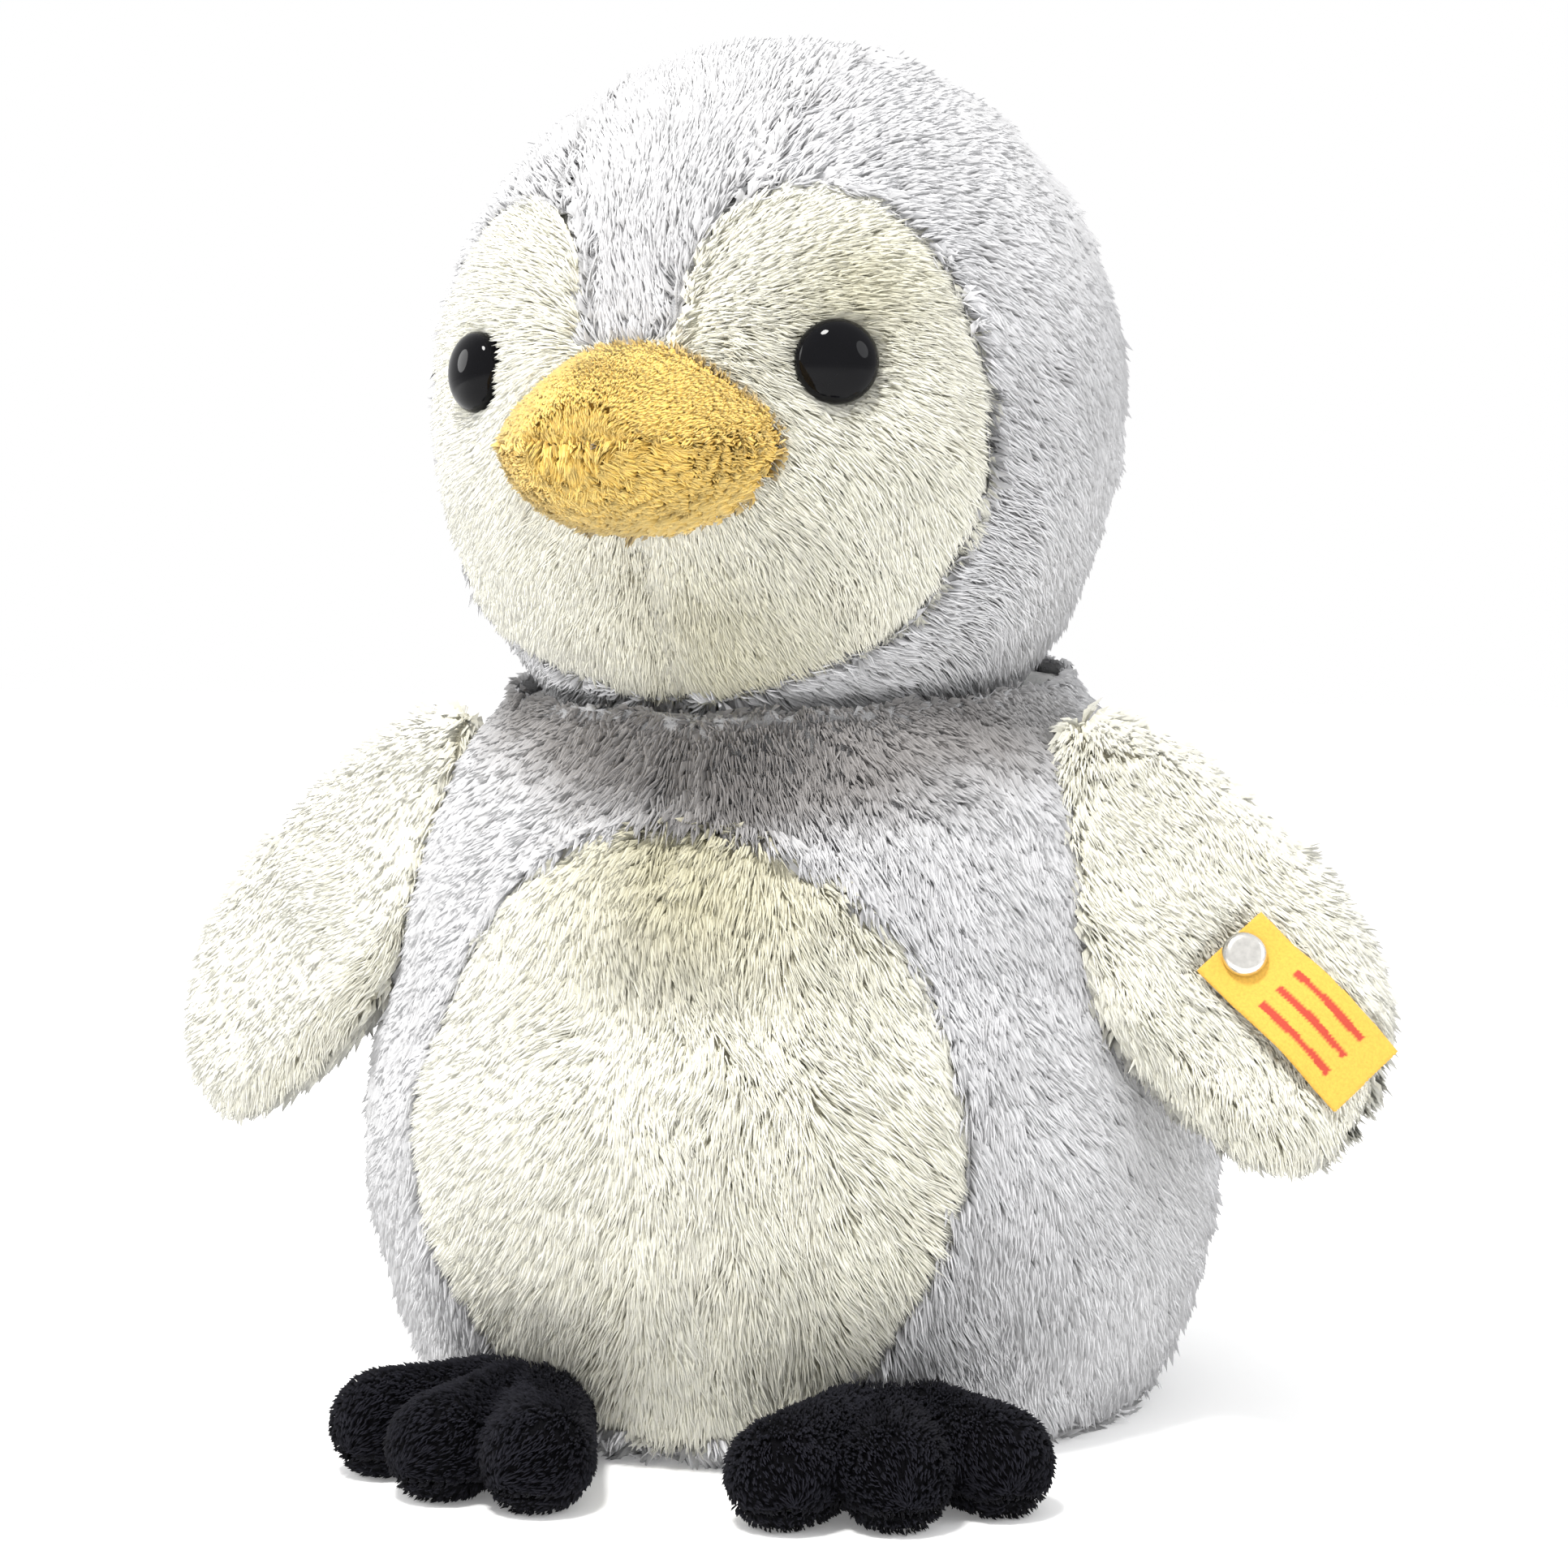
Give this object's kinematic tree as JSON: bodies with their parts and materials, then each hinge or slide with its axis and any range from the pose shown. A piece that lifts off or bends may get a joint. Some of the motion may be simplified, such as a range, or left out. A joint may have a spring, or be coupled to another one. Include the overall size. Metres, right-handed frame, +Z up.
{
  "type": "plush penguin",
  "caption": "Stuffed plush penguin that stands on a weighted base, with a turning head, soft hinged wings and feet, safety eyes and a ribbon held by a button.",
  "frame": {"origin": "middle of the flat base where the body stands on the floor", "axes": "+Z up, the penguin faces -Y, its own left wing is on +X"},
  "size_m": [0.2004, 0.1623, 0.2173],
  "materials": {
    "grey_plush": "long soft pile, frosted tips",
    "cream_plush": "long soft pile",
    "golden_plush": "short shaggy pile",
    "black_plush": "short pile",
    "fibre_fill": "loose polyester fibre",
    "cotton_bag": "plain woven",
    "pellets": "matte",
    "eye_gloss": "polished",
    "washer_plastic": "matte",
    "button_metal": "polished",
    "woven_ribbon": "twill weave"
  },
  "bodies": {
    "torso": {"body_front_left": "grey_plush", "body_front_right": "grey_plush", "body_back_left": "grey_plush", "body_back_right": "grey_plush", "belly_patch": "cream_plush", "body_base": "grey_plush", "body_stuffing": "fibre_fill", "pellet_bag": "cotton_bag", "pellet_fill": "pellets"},
    "neck": {"neck_core": "fibre_fill"},
    "head": {"crown_gusset": "grey_plush", "head_side_left": "grey_plush", "head_side_right": "grey_plush", "face_left": "cream_plush", "face_right": "cream_plush", "head_stuffing": "fibre_fill", "beak_upper": "golden_plush", "beak_lower": "golden_plush", "beak_stuffing": "fibre_fill", "eye_left": "eye_gloss", "eye_right": "eye_gloss", "eye_washer_left": "washer_plastic", "eye_washer_right": "washer_plastic"},
    "wing_left": {"wing_left_front": "cream_plush", "wing_left_back": "cream_plush", "wing_left_stuffing": "fibre_fill", "button_cap": "button_metal", "button_back": "button_metal"},
    "wing_right": {"wing_right_front": "cream_plush", "wing_right_back": "cream_plush", "wing_right_stuffing": "fibre_fill"},
    "tag": {"ribbon_tag": "woven_ribbon"},
    "foot_left": {"foot_left_top": "black_plush", "foot_left_sole": "black_plush", "foot_left_stuffing": "fibre_fill"},
    "foot_right": {"foot_right_top": "black_plush", "foot_right_sole": "black_plush", "foot_right_stuffing": "fibre_fill"}
  },
  "joints": [
    {"name": "neck_turn", "type": "hinge", "parent": "torso", "child": "neck", "pos_m": [0, -0.008, 0.162], "axis": [0, 0, 1], "range_deg": [-40, 40], "stiffness_Nm_per_rad": 0.3},
    {"name": "head_nod", "type": "hinge", "parent": "neck", "child": "head", "pos_m": [0, -0.008, 0.162], "axis": [0.9936, -0.1132, 0], "range_deg": [-12, 12], "stiffness_Nm_per_rad": 0.6},
    {"name": "wing_left_raise", "type": "hinge", "parent": "torso", "child": "wing_left", "pos_m": [0.052, -0.017, 0.107], "axis": [-0.141, -0.9073, -0.3961], "range_deg": [0, 45], "stiffness_Nm_per_rad": 0.06},
    {"name": "wing_right_raise", "type": "hinge", "parent": "torso", "child": "wing_right", "pos_m": [-0.052, -0.017, 0.107], "axis": [-0.141, 0.9073, 0.3961], "range_deg": [0, 45], "stiffness_Nm_per_rad": 0.06},
    {"name": "tag_swing", "type": "hinge", "parent": "wing_left", "child": "tag", "pos_m": [0.07912, -0.02758, 0.07596], "axis": [0.304, -0.8784, 0.3687], "range_deg": [-25, 20], "stiffness_Nm_per_rad": 0.004},
    {"name": "foot_left_lift", "type": "hinge", "parent": "torso", "child": "foot_left", "pos_m": [0.0334, -0.0548, 0.0072], "axis": [-0.8829, -0.4695, 0], "range_deg": [0, 12], "stiffness_Nm_per_rad": 0.15},
    {"name": "foot_right_lift", "type": "hinge", "parent": "torso", "child": "foot_right", "pos_m": [-0.02338, -0.05977, 0.0072], "axis": [-0.9511, 0.309, 0], "range_deg": [0, 12], "stiffness_Nm_per_rad": 0.15}
  ]
}
